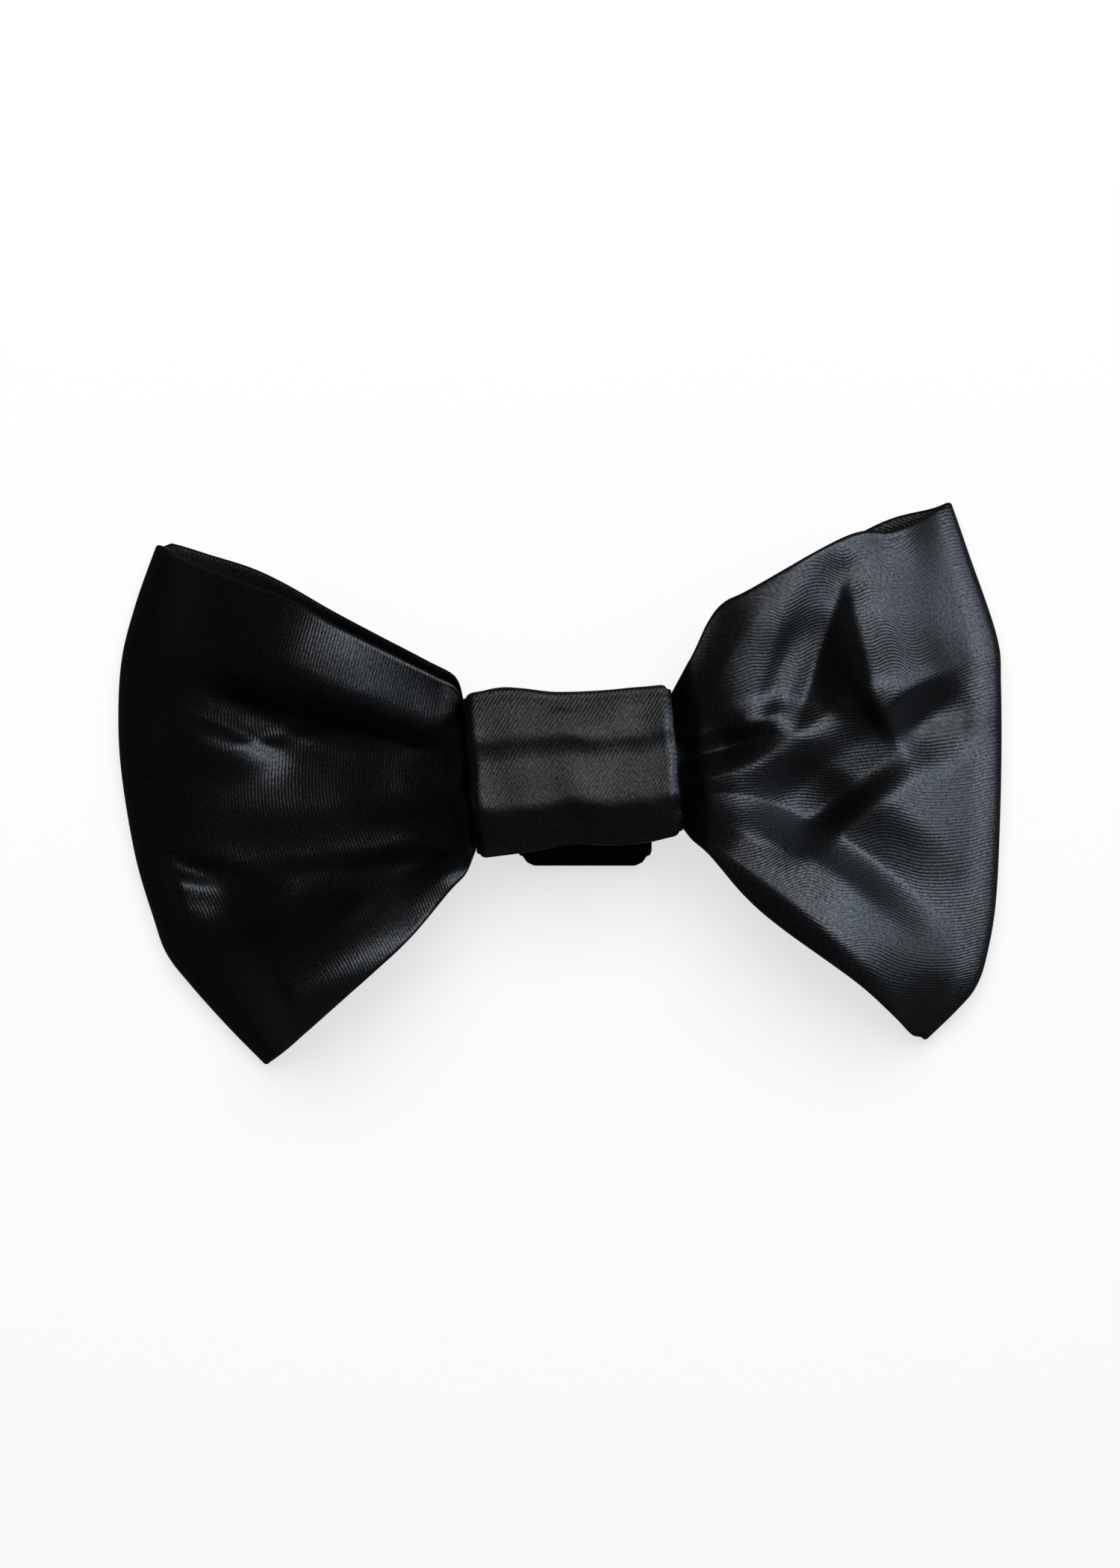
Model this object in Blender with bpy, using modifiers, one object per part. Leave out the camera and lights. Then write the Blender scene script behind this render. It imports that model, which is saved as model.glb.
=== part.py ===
# Slide-on pet bow tie, lying on its back: a satin bow pinched by a satin knot band,
# with an elastic loop behind the knot that a collar strap runs through.
# Metres, +Z up. The origin is on the floor under the middle of the bow's outline.
# +X runs along the bow to the right wing's tip, +Y to the bow's upper edges.

import bisect
import math

import bpy
from mathutils import Vector

# Bow
BOW_WIDTH = 0.1075
BOW_HEIGHT = 0.0680
CLOTH = 0.0012  # wall of the doubled satin
WING_RISE = 0.0115  # from the top of the outer fold to the crest of the wing's front
FOLD_INNER_RADIUS = 0.0010  # left open inside the turned outer fold
TIP_LIFT = 0.0012  # how far the pointed corners curl off the floor

# Knot band
KNOT_WIDTH = 0.0240
KNOT_HEIGHT = 0.0190
KNOT_WALL = 0.0012
KNOT_SHIFT_X = 0.0016  # the knot sits a little right of the middle
KNOT_SHIFT_Y = 0.0016  # and a little above it
KNOT_LEAN_SHARE = 0.085  # sideways lean of the knot's two edges, per unit of height
WAIST_THICKNESS = 0.0070  # gathered satin inside the knot

# Elastic collar loop
ELASTIC_WIDTH = 0.0150
ELASTIC_HEIGHT = 0.0200  # folded length of the loop, from end to end
ELASTIC_WALL = 0.0012
COLLAR_GAP = 0.0052  # free height inside the loop for the collar strap
ELASTIC_SHIFT_X = 0.0014  # from the knot's middle
ELASTIC_SHIFT_Y = -0.0016

# Clearance between neighbouring pieces
GAP = 0.0003
STEEPEST_SHARE = 0.8  # a sloping layer is thickened upright by no more than 1 / STEEPEST_SHARE

# Steps of the meshes
WING_STEPS = 20
HEIGHT_STEPS = 24
FOLD_STEPS = 4
WAIST_STEPS = 3
KNOT_STEPS = 10
ELASTIC_END_STEPS = 10
CURVE_STEPS = 12  # between two points of an outline
FOLD_LINE_STEPS = 14  # along the curve that a fold follows
ROUND_STEPS = 6  # to each side, where the waist keeps its distance to the band
STEP_GROWTH = 1.25  # the wing's sections lie closer together near the knot
END_STEP = 0.01  # to each side, to find which way the outer fold runs
SHARP_ANGLE = math.radians(50)

# Levels, worked out from the sizes above
LOOP_TOP = 2 * ELASTIC_WALL + COLLAR_GAP
KNOT_BACK = LOOP_TOP + GAP
KNOT_DEPTH = WAIST_THICKNESS + 2 * (KNOT_WALL + GAP)
FOLD_RADIUS = CLOTH + FOLD_INNER_RADIUS
WAIST_INSET = KNOT_WALL + GAP
LAYERS_APART = 2 * CLOTH / STEEPEST_SHARE + GAP  # least height of the front's outside over the back's
LAYERS_EASE = LAYERS_APART / 4  # how softly the front comes to rest on that height

# Outlines of the two wings, seen from above. "along" is a share of the wing's length, from
# the knot's edge to the bow's end, and "up" a share of the bow's height from its middle.
# The front layer's upper edge is a little lower than the back layer's where that shows.
RIGHT_OUTLINE = {
    "front_top": [
        (0.056, 0.222), (0.100, 0.277), (0.146, 0.311), (0.225, 0.335),
        (0.449, 0.410), (0.590, 0.445), (0.640, 0.434), (0.742, 0.461),
    ],
    "back_top": [
        (0.056, 0.205), (0.146, 0.290), (0.337, 0.362), (0.562, 0.440), (0.674, 0.471), (0.787, 0.487),
    ],
    "bottom": [
        (0.056, -0.092), (0.112, -0.120), (0.225, -0.196), (0.337, -0.253),
        (0.562, -0.349), (0.674, -0.408), (0.730, -0.441),
    ],
    "end": [
        (0.775, -0.456), (0.865, -0.404), (0.921, -0.364), (0.955, -0.307), (0.984, -0.199),
        (0.998, 0.000), (0.998, 0.180), (0.985, 0.265), (0.899, 0.414), (0.849, 0.500),
    ],
}
LEFT_OUTLINE = {
    "front_top": [
        (0.050, 0.166), (0.099, 0.183), (0.242, 0.228), (0.384, 0.274),
        (0.498, 0.315), (0.711, 0.365), (0.830, 0.398),
    ],
    "back_top": [
        (0.050, 0.183), (0.134, 0.214), (0.277, 0.262), (0.405, 0.306),
        (0.527, 0.351), (0.626, 0.381), (0.740, 0.404), (0.850, 0.425),
    ],
    "bottom": [
        (0.023, -0.152), (0.074, -0.187), (0.178, -0.266), (0.281, -0.328), (0.488, -0.446),
    ],
    "end": [
        (0.591, -0.500), (0.694, -0.433), (0.798, -0.359), (0.865, -0.303), (0.901, -0.240),
        (0.952, -0.130), (0.990, 0.013), (1.000, 0.120), (0.990, 0.225), (0.952, 0.320), (0.895, 0.424),
    ],
}

# Height of each wing's front from the waist (0) to its outer fold (1), as a share of WING_RISE,
# and of the backs, as a share of the waist's height over the floor.
RIGHT_HEIGHTS = [
    (0.00, 0.90), (0.12, 0.96), (0.30, 1.00), (0.50, 0.87), (0.70, 0.60), (0.85, 0.32), (1.00, 0.00),
]
LEFT_HEIGHTS = [
    (0.00, 0.85), (0.12, 0.86), (0.30, 0.85), (0.50, 0.78), (0.70, 0.64), (0.85, 0.42), (1.00, 0.00),
]
BACK_HEIGHTS = [
    (0.00, 0.98), (0.12, 0.82), (0.30, 0.48), (0.50, 0.19), (0.70, 0.04), (0.85, 0.00), (1.00, 0.00),
]

# Folds of the satin. Each runs on a curve through three points, given as (along, up) shares
# like the outlines. "rise" is a share of WING_RISE, negative for a crease. The two widths are
# shares of BOW_HEIGHT, to the left and to the right of the way it runs. The fades are the
# shares of its length over which it starts and ends, and "crest" goes from 0, round, to 1, sharp.
FOLD_COLUMNS = ("name", "start", "middle", "end", "rise", "left", "right", "fade_in", "fade_out", "crest")
RIGHT_FOLDS = [
    ("top_roll", (0.08, 0.07), (0.26, 0.28), (0.65, 0.43), 0.19, 0.11, 0.08, 0.30, 0.50, 0.3),
    ("spike_groove", (0.50, 0.36), (0.44, 0.22), (0.36, 0.08), -0.19, 0.08, 0.07, 0.35, 0.30, 0.3),
    ("spike_ridge", (0.51, 0.38), (0.58, 0.22), (0.61, 0.09), 0.18, 0.07, 0.13, 0.30, 0.20, 0.5),
    ("basin_rim", (0.58, 0.10), (0.73, 0.17), (0.92, 0.23), 0.12, 0.15, 0.07, 0.15, 0.40, 0.6),
    ("basin", (0.92, 0.22), (0.71, 0.09), (0.49, -0.06), -0.24, 0.12, 0.09, 0.45, 0.20, 0.2),
    ("basin_crease", (0.30, 0.10), (0.42, 0.03), (0.55, -0.07), -0.17, 0.12, 0.07, 0.30, 0.30, 0.5),
    ("upper_lip", (0.13, 0.09), (0.25, 0.11), (0.39, 0.14), 0.12, 0.05, 0.04, 0.40, 0.40, 0.5),
    ("upper_crease", (-0.02, 0.04), (0.13, 0.05), (0.36, 0.10), -0.22, 0.05, 0.05, 0.02, 0.45, 0.5),
    ("middle_lobe", (0.07, 0.00), (0.22, 0.01), (0.45, -0.05), 0.14, 0.06, 0.06, 0.30, 0.40, 0.1),
    ("lower_crease", (-0.02, -0.03), (0.40, -0.06), (0.93, -0.31), -0.28, 0.10, 0.06, 0.02, 0.30, 0.7),
    ("bottom_roll", (0.01, -0.06), (0.40, -0.21), (0.76, -0.41), 0.19, 0.13, 0.08, 0.20, 0.30, 0.3),
]
LEFT_FOLDS = [
    ("upper_crease", (-0.02, 0.03), (0.34, 0.09), (0.87, 0.17), -0.25, 0.12, 0.08, 0.02, 0.40, 0.8),
    ("upper_lobe", (-0.01, 0.08), (0.20, 0.14), (0.63, 0.26), 0.16, 0.12, 0.12, 0.20, 0.50, 0.0),
    ("pucker", (-0.02, 0.12), (0.05, 0.10), (0.15, 0.08), -0.10, 0.03, 0.03, 0.05, 0.60, 0.7),
    ("patch_ridge", (0.50, 0.13), (0.71, 0.11), (0.81, 0.05), 0.11, 0.07, 0.08, 0.30, 0.40, 0.2),
    ("middle_valley", (0.49, 0.13), (0.55, 0.05), (0.69, -0.04), -0.19, 0.12, 0.10, 0.20, 0.40, 0.5),
    ("middle_ridge", (-0.01, -0.02), (0.16, -0.02), (0.40, 0.00), 0.13, 0.05, 0.06, 0.10, 0.60, 0.1),
    ("lower_crease", (-0.02, -0.07), (0.38, -0.11), (0.89, -0.14), -0.24, 0.09, 0.08, 0.02, 0.35, 0.7),
    ("lower_lobe", (-0.03, -0.11), (0.07, -0.14), (0.24, -0.20), 0.14, 0.06, 0.06, 0.10, 0.50, 0.2),
    ("corner_ridge", (0.63, -0.19), (0.79, -0.19), (0.91, -0.18), 0.13, 0.05, 0.09, 0.40, 0.20, 0.3),
    ("corner_valley", (0.65, -0.17), (0.78, -0.25), (0.87, -0.32), -0.13, 0.08, 0.08, 0.30, 0.30, 0.5),
    ("low_valley", (0.16, -0.15), (0.38, -0.23), (0.67, -0.31), -0.16, 0.09, 0.08, 0.20, 0.30, 0.6),
    ("bottom_roll", (-0.01, -0.15), (0.27, -0.28), (0.60, -0.40), 0.16, 0.07, 0.08, 0.15, 0.30, 0.2),
]
# The gathers of the back layer, which the front hides; a positive rise is away from the front.
BACK_FOLDS = [
    ("upper_gather", (-0.02, 0.06), (0.25, 0.13), (0.70, 0.25), 0.10, 0.08, 0.08, 0.02, 0.50, 0.2),
    ("middle_gather", (-0.02, 0.01), (0.25, 0.00), (0.60, -0.02), -0.07, 0.07, 0.07, 0.02, 0.50, 0.5),
    ("lower_gather", (-0.02, -0.05), (0.25, -0.12), (0.65, -0.24), 0.10, 0.08, 0.08, 0.02, 0.50, 0.2),
]

# The knot band's section: how far its front and back stand out at each height of the band.
# "up" is a share of the band's height from its middle, the others of its depth.
KNOT_SECTION = [
    # up, front, back
    (-0.50, 0.62, 0.12),
    (-0.44, 0.70, 0.02),
    (-0.36, 0.83, 0.00),
    (-0.29, 0.94, 0.00),
    (-0.22, 0.99, 0.00),
    (-0.10, 0.97, 0.00),
    (0.06, 0.92, 0.00),
    (0.20, 0.92, 0.00),
    (0.34, 0.87, 0.00),
    (0.45, 0.79, 0.03),
    (0.50, 0.72, 0.14),
]
# The band's two long edges, across it from left to right, in shares of KNOT_WIDTH and KNOT_HEIGHT.
KNOT_EDGES = [
    # across, top, bottom
    (0.00, 0.480, -0.545),
    (0.20, 0.515, -0.515),
    (0.45, 0.488, -0.470),
    (0.75, 0.510, -0.462),
    (1.00, 0.535, -0.410),
]
# The elastic's width is drawn in at its two folded ends: across it, how far the end is short.
ELASTIC_ENDS = [
    # across, short of the full length
    (0.00, 0.060),
    (0.03, 0.026),
    (0.09, 0.004),
    (0.91, 0.004),
    (0.97, 0.026),
    (1.00, 0.060),
]

MATERIALS = {
    # colour, roughness, metallic
    "satin": ((0.012, 0.013, 0.015, 1.0), 0.38, 0.0),
    "elastic": ((0.008, 0.008, 0.009, 1.0), 0.80, 0.0),
}


def clamp(value):
    return min(1.0, max(0.0, value))


def smooth(value):
    value = clamp(value)
    return value * value * (3 - 2 * value)


def mix(a, b, share):
    return a + (b - a) * share


def hermite(a, b, slope_a, slope_b, share):
    """Cubic between two values with the slopes of the whole step."""
    s2 = share * share
    s3 = s2 * share
    keep_a = 2 * s3 - 3 * s2 + 1
    keep_b = 3 * s2 - 2 * s3
    return a * keep_a + b * keep_b + slope_a * (s3 - 2 * s2 + share) + slope_b * (s3 - s2)


def value_at(rows, column, where):
    """Reads a column of a table at a place between its rows, on a smooth curve through them."""
    places = [row[0] for row in rows]
    where = min(places[-1], max(places[0], where))
    i = min(len(rows) - 2, max(0, bisect.bisect_right(places, where) - 1))
    step = places[i + 1] - places[i]

    def slope(k):
        low, high = max(0, k - 1), min(len(rows) - 1, k + 1)
        return (rows[high][column] - rows[low][column]) / (places[high] - places[low]) * step

    return hermite(rows[i][column], rows[i + 1][column], slope(i), slope(i + 1), (where - places[i]) / step)


def curve_through(points):
    """A function that gives the point at each share of the length of a smooth curve through the points."""
    line = []
    for i in range(len(points) - 1):
        before, after = points[max(0, i - 1)], points[min(len(points) - 1, i + 2)]
        slope_a = (points[i + 1] - before) / (2 if i > 0 else 1)
        slope_b = (after - points[i]) / (2 if i < len(points) - 2 else 1)
        for k in range(CURVE_STEPS):
            line.append(hermite(points[i], points[i + 1], slope_a, slope_b, k / CURVE_STEPS))
    line.append(points[-1])
    lengths = [0.0]
    for a, b in zip(line, line[1:]):
        lengths.append(lengths[-1] + (b - a).length)

    def at(share):
        target = clamp(share) * lengths[-1]
        i = min(len(line) - 2, max(0, bisect.bisect_right(lengths, target) - 1))
        return line[i].lerp(line[i + 1], (target - lengths[i]) / (lengths[i + 1] - lengths[i]))

    return at


def knot_edges_at(across):
    """(bottom, top) of the knot band at a share of its width, in metres."""
    top = KNOT_SHIFT_Y + value_at(KNOT_EDGES, 1, across) * KNOT_HEIGHT
    bottom = KNOT_SHIFT_Y + value_at(KNOT_EDGES, 2, across) * KNOT_HEIGHT
    return bottom, top


def knot_x(across, y):
    """Sideways place on the knot band, whose edges lean to the right going down."""
    return KNOT_SHIFT_X + (across - 0.5) * KNOT_WIDTH + (KNOT_SHIFT_Y - y) * KNOT_LEAN_SHARE


def knot_level(column, up):
    """Height over the floor of the band's front (column 1) or back (column 2)."""
    return KNOT_BACK + value_at(KNOT_SECTION, column, up) * KNOT_DEPTH


def waist_point(across, t, front):
    """A point of the gathered satin inside the knot, one wall and one gap inside the band."""
    bottom, top = knot_edges_at(clamp(across))
    y = mix(bottom + WAIST_INSET, top - WAIST_INSET, t)
    column, inward = (1, -1) if front else (2, 1)
    levels = []
    for k in range(-ROUND_STEPS, ROUND_STEPS + 1):
        off = WAIST_INSET * k / ROUND_STEPS
        up = (y + off - bottom) / (top - bottom) - 0.5
        levels.append(knot_level(column, up) + inward * math.sqrt(WAIST_INSET ** 2 - off ** 2))
    z = min(levels) if front else max(levels)
    return Vector((knot_x(across, y), y, z))


class Wing:
    """One wing of the bow. side is 1 for the right wing and -1 for the left."""

    # Share of the wing over which it swells out of the knot
    SWELL_SHARE = 0.11
    # Share of the wing, next to its outer fold, over which the front's folds die out
    CALM_SHARE = 0.07
    # The same for the back's folds, which start to die out much earlier
    BACK_CALM_SHARE = 0.40
    # How far the wing starts outside the band's edge, as a share of the band's width
    CLEAR_SHARE = 0.014
    # How suddenly the corners curl up off the floor
    CURL_POWER = 4

    def __init__(self, side, outline, heights, folds):
        self.side = side
        self.heights = heights
        self.across = 1 + self.CLEAR_SHARE if side > 0 else -self.CLEAR_SHARE
        self.root_x = KNOT_SHIFT_X + side * KNOT_WIDTH / 2
        self.length = abs(side * BOW_WIDTH / 2 - self.root_x)
        self.folds = [self.prepared(row) for row in folds]
        self.back_folds = [self.prepared(row) for row in BACK_FOLDS]
        self.end = curve_through([self.place(row) for row in outline["end"]])
        low, high = self.inset_end(0), self.inset_end(1)
        self.edges = {}
        for layer in ("front", "back"):
            root_low = waist_point(self.across, 0, layer == "front").to_2d()
            root_high = waist_point(self.across, 1, layer == "front").to_2d()
            bottom = [root_low] + [self.place(row) for row in outline["bottom"]] + [low]
            top = [root_high] + [self.place(row) for row in outline[layer + "_top"]] + [high]
            self.edges[layer] = (curve_through(bottom), curve_through(top))

    def place(self, row):
        along, up = row[0], row[1]
        return Vector((self.root_x + self.side * along * self.length, up * BOW_HEIGHT))

    def prepared(self, row):
        """A fold's numbers by name, with its curve as points."""
        fold = dict(zip(FOLD_COLUMNS, row))
        start, middle, end = (self.place(fold[key]) for key in ("start", "middle", "end"))
        pull = 2 * middle - (start + end) / 2
        shares = [k / FOLD_LINE_STEPS for k in range(FOLD_LINE_STEPS + 1)]
        fold["line"] = [(1 - q) ** 2 * start + 2 * q * (1 - q) * pull + q * q * end for q in shares]
        return fold

    def fold_height(self, folds, point):
        """Sum of the folds at a point, as a share of WING_RISE."""
        total = 0.0
        for fold in folds:
            line = fold["line"]
            nearest, run, left = 1e9, 0.0, True
            for i in range(len(line) - 1):
                step = line[i + 1] - line[i]
                share = clamp((point - line[i]).dot(step) / step.length_squared)
                away = point - line[i] - step * share
                if away.length < nearest:
                    nearest, run = away.length, (i + share) / (len(line) - 1)
                    left = step.cross(away) * self.side > 0
            reach = (fold["left"] if left else fold["right"]) * BOW_HEIGHT
            if nearest >= reach:
                continue
            off = nearest / reach
            shape = mix((1 - off * off) ** 2, (1 - off) ** 2, fold["crest"])
            along = smooth(run / fold["fade_in"]) * smooth((1 - run) / fold["fade_out"])
            total += fold["rise"] * shape * along
        return total

    def inset_end(self, t):
        """The outer fold's middle line, one fold radius inside the outline."""
        here = self.end(t)
        step = self.end(min(1, t + END_STEP)) - self.end(max(0, t - END_STEP))
        outward = Vector((step.y, -step.x)).normalized() * self.side
        return here - outward * FOLD_RADIUS

    def flat_point(self, s, t, layer):
        """Place seen from above, blended between the wing's four edges."""
        bottom, top = self.edges[layer]
        root = waist_point(self.across, t, layer == "front").to_2d()
        tip = self.inset_end(t)
        low, high = bottom(s), top(s)
        corners = mix(mix(bottom(0), top(0), t), mix(bottom(1), top(1), t), s)
        return mix(low, high, t) + mix(root, tip, s) - corners

    def lift(self, t):
        return TIP_LIFT * abs(2 * t - 1) ** self.CURL_POWER

    def front_point(self, s, t):
        flat = self.flat_point(s, t, "front")
        calm = smooth((1 - s) / self.CALM_SHARE)
        share = value_at(self.heights, 1, s) + self.fold_height(self.folds, flat) * calm
        free = 2 * FOLD_RADIUS + self.lift(t) + share * WING_RISE
        over = self.back_point(s, t).z + LAYERS_APART
        free = (free + over + math.hypot(free - over, LAYERS_EASE)) / 2
        z = mix(waist_point(self.across, t, True).z, free, smooth(s / self.SWELL_SHARE))
        return Vector((flat.x, flat.y, z))

    def back_point(self, s, t):
        flat = self.flat_point(s, t, "back")
        calm = smooth((1 - s) / self.CALM_SHARE) * clamp((1 - s) / self.BACK_CALM_SHARE)
        root = waist_point(self.across, t, False).z
        level = max(0, value_at(BACK_HEIGHTS, 1, s)) * (KNOT_BACK + WAIST_INSET) + self.lift(t) * s
        free = level - self.fold_height(self.back_folds, flat) * WING_RISE * calm
        return Vector((flat.x, flat.y, mix(root, free, smooth(s / self.SWELL_SHARE))))

    def turn_point(self, turn, t, radius):
        """On the outer fold, from its top (turn 0) round to its underside (turn 1)."""
        middle = self.inset_end(t)
        outward = (self.end(t) - middle).normalized()
        angle = math.pi * (0.5 - turn)
        flat = middle + outward * radius * math.cos(angle)
        return Vector((flat.x, flat.y, FOLD_RADIUS + radius * math.sin(angle) + self.lift(t)))

    def wall(self):
        """The wing's outer and inner faces, as sections from the waist's front round the
        outer fold to the waist's back."""
        ups = [k / HEIGHT_STEPS for k in range(HEIGHT_STEPS + 1)]
        alongs = [(k / WING_STEPS) ** STEP_GROWTH for k in range(WING_STEPS + 1)]
        front = [[self.front_point(s, t) for t in ups] for s in alongs]
        back = [[self.back_point(s, t) for t in ups] for s in alongs]
        turns = [k / FOLD_STEPS for k in range(1, FOLD_STEPS)]
        outer_turn = [[self.turn_point(turn, t, FOLD_RADIUS) for t in ups] for turn in turns]
        inner_turn = [[self.turn_point(turn, t, FOLD_INNER_RADIUS) for t in ups] for turn in turns]
        outer = front + outer_turn + back[::-1]
        inner = sunk(front, -1) + inner_turn + sunk(back, 1)[::-1]
        return outer, inner


def sunk(sections, way):
    """The other face of a cloth layer: moved up or down (way 1 or -1) by the cloth's thickness,
    and a little more where the layer is steep."""
    last_i, last_j = len(sections) - 1, len(sections[0]) - 1
    moved = []
    for i, section in enumerate(sections):
        row = []
        for j, point in enumerate(section):
            step_i = sections[min(last_i, i + 1)][j] - sections[max(0, i - 1)][j]
            step_j = section[min(last_j, j + 1)] - section[max(0, j - 1)]
            level = abs(step_i.cross(step_j).normalized().z)
            row.append(point + Vector((0, 0, way * CLOTH / max(level, STEEPEST_SHARE))))
        moved.append(row)
    return moved


def waist_sections(front):
    """Sections of the satin inside the knot, from left to right."""
    rows = []
    for k in range(1, WAIST_STEPS + 1):
        across = k / (WAIST_STEPS + 1)
        rows.append([waist_point(across, j / HEIGHT_STEPS, front) for j in range(HEIGHT_STEPS + 1)])
    return rows


def make_bow():
    """One band of satin: right wing, waist, left wing and waist again, closed into a loop."""
    right_outer, right_inner = Wing(1, RIGHT_OUTLINE, RIGHT_HEIGHTS, RIGHT_FOLDS).wall()
    left_outer, left_inner = Wing(-1, LEFT_OUTLINE, LEFT_HEIGHTS, LEFT_FOLDS).wall()
    front, back = waist_sections(True), waist_sections(False)
    outer = right_outer + back[::-1] + left_outer[::-1] + front
    inner = right_inner + sunk(back, 1)[::-1] + left_inner[::-1] + sunk(front, -1)
    count, wide = len(outer), HEIGHT_STEPS + 1
    points = [point for sections in (outer, inner) for section in sections for point in section]
    faces = []
    for i in range(count):
        here, there = i * wide, (i + 1) % count * wide
        here_in, there_in = count * wide + here, count * wide + there
        for j in range(HEIGHT_STEPS):
            faces.append((here + j, there + j, there + j + 1, here + j + 1))
            faces.append((here_in + j, here_in + j + 1, there_in + j + 1, there_in + j))
        top = HEIGHT_STEPS
        faces.append((here, here_in, there_in, there))
        faces.append((here + top, there + top, there_in + top, here_in + top))
    return new_piece("bow", points, faces)


def new_piece(name, points, faces):
    mesh = bpy.data.meshes.new(name)
    mesh.from_pydata(points, [], faces)
    mesh.shade_smooth()
    mesh.set_sharp_from_angle(angle=SHARP_ANGLE)
    return bpy.data.objects.new(name, mesh)


def band(name, sections, thickness):
    """A band of cloth or elastic closed into a ring; the sections are rings of outer points."""
    wide = len(sections[0])
    points = [point for section in sections for point in section]
    faces = []
    for here in range(0, (len(sections) - 1) * wide, wide):
        for j in range(wide):
            after = (j + 1) % wide
            faces.append((here + j, here + wide + j, here + wide + after, here + after))
    piece = new_piece(name, points, faces)
    solidify = piece.modifiers.new("wall", "SOLIDIFY")
    solidify.thickness = thickness
    solidify.offset = -1
    return piece


def make_knot_band():
    sections = []
    for k in range(KNOT_STEPS + 1):
        across = k / KNOT_STEPS
        bottom, top = knot_edges_at(across)
        section = []
        for column, rows in ((1, KNOT_SECTION), (2, KNOT_SECTION[::-1])):
            for row in rows:
                y = mix(bottom, top, row[0] + 0.5)
                section.append(Vector((knot_x(across, y), y, KNOT_BACK + row[column] * KNOT_DEPTH)))
        sections.append(section)
    return band("knot_band", sections, KNOT_WALL)


def make_collar_loop():
    radius = LOOP_TOP / 2
    middle_x = KNOT_SHIFT_X + ELASTIC_SHIFT_X
    middle_y = KNOT_SHIFT_Y + ELASTIC_SHIFT_Y
    sections = []
    for across, short in ELASTIC_ENDS:
        x = middle_x + (across - 0.5) * ELASTIC_WIDTH
        half = ELASTIC_HEIGHT * (0.5 - short) - radius
        section = []
        for end in (1, -1):
            for k in range(ELASTIC_END_STEPS + 1):
                angle = end * math.pi * (0.5 - k / ELASTIC_END_STEPS)
                y = middle_y + end * (half + radius * math.cos(angle))
                section.append(Vector((x, y, radius + radius * math.sin(angle))))
        sections.append(section)
    return band("collar_loop", sections, ELASTIC_WALL)


def material(name):
    colour, roughness, metallic = MATERIALS[name]
    made = bpy.data.materials.new(name)
    made.use_nodes = True
    shader = made.node_tree.nodes["Principled BSDF"]
    shader.inputs["Base Color"].default_value = colour
    shader.inputs["Roughness"].default_value = roughness
    shader.inputs["Metallic"].default_value = metallic
    made.diffuse_color = colour
    return made


def main():
    for old in list(bpy.data.objects):
        bpy.data.objects.remove(old, do_unlink=True)
    parts = bpy.data.collections.new("pet_bow_tie")
    bpy.context.scene.collection.children.link(parts)
    satin, elastic = material("satin"), material("elastic")
    for piece, finish in ((make_bow(), satin), (make_knot_band(), satin), (make_collar_loop(), elastic)):
        piece.data.materials.append(finish)
        parts.objects.link(piece)


main()
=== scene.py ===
import math

import bpy
import numpy as np
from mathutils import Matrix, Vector, noise


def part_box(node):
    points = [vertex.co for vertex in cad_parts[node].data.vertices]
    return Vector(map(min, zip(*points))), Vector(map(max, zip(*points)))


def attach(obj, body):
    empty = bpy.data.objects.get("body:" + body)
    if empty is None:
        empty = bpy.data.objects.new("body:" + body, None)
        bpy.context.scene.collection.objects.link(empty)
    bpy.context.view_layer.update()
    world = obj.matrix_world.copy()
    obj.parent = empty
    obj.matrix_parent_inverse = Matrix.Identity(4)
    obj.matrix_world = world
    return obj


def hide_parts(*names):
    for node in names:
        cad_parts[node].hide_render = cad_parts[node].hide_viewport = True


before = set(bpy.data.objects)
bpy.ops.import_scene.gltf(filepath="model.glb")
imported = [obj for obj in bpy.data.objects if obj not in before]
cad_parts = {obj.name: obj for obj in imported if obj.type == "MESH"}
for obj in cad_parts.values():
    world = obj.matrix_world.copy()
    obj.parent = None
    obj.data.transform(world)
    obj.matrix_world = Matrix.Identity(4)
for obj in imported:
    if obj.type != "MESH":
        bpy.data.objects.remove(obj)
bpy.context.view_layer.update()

mm = 0.001

bowLow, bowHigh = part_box("bow")
bowWidth = bowHigh.x - bowLow.x
bowHeight = bowHigh.y - bowLow.y
print("frame loaded, bow", round(bowWidth / mm, 1), "x", round(bowHeight / mm, 1), "mm")


# small tools for curves, tables and meshes

curveSteps = 24                      # points made between two given ones
rimSteps = 3                         # points round a cut edge of the cloth


def smooth(x):
    x = np.clip(x, 0, 1)
    return x * x * (3 - 2 * x)


def mix(a, b, share):
    return a + (b - a) * share


def hermite(a, b, slopeA, slopeB, q):
    keepA = 2 * q ** 3 - 3 * q ** 2 + 1
    bendA, bendB = q ** 3 - 2 * q ** 2 + q, q ** 3 - q ** 2
    return a * keepA + b * (1 - keepA) + slopeA * bendA + slopeB * bendB


def tableValue(rows, column, where):  # a smooth curve through the rows, read at each place
    rows = np.array(rows, float)
    places, values = rows[:, 0], rows[:, column]
    where = np.clip(where, places[0], places[-1])
    i = np.clip(np.searchsorted(places, where, side="right") - 1, 0, len(places) - 2)
    slopes = np.empty(len(places))
    slopes[1:-1] = (values[2:] - values[:-2]) / (places[2:] - places[:-2])
    slopes[0] = (values[1] - values[0]) / (places[1] - places[0])
    slopes[-1] = (values[-1] - values[-2]) / (places[-1] - places[-2])
    step = places[i + 1] - places[i]
    q = (where - places[i]) / step
    return hermite(values[i], values[i + 1], slopes[i] * step, slopes[i + 1] * step, q)


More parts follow.
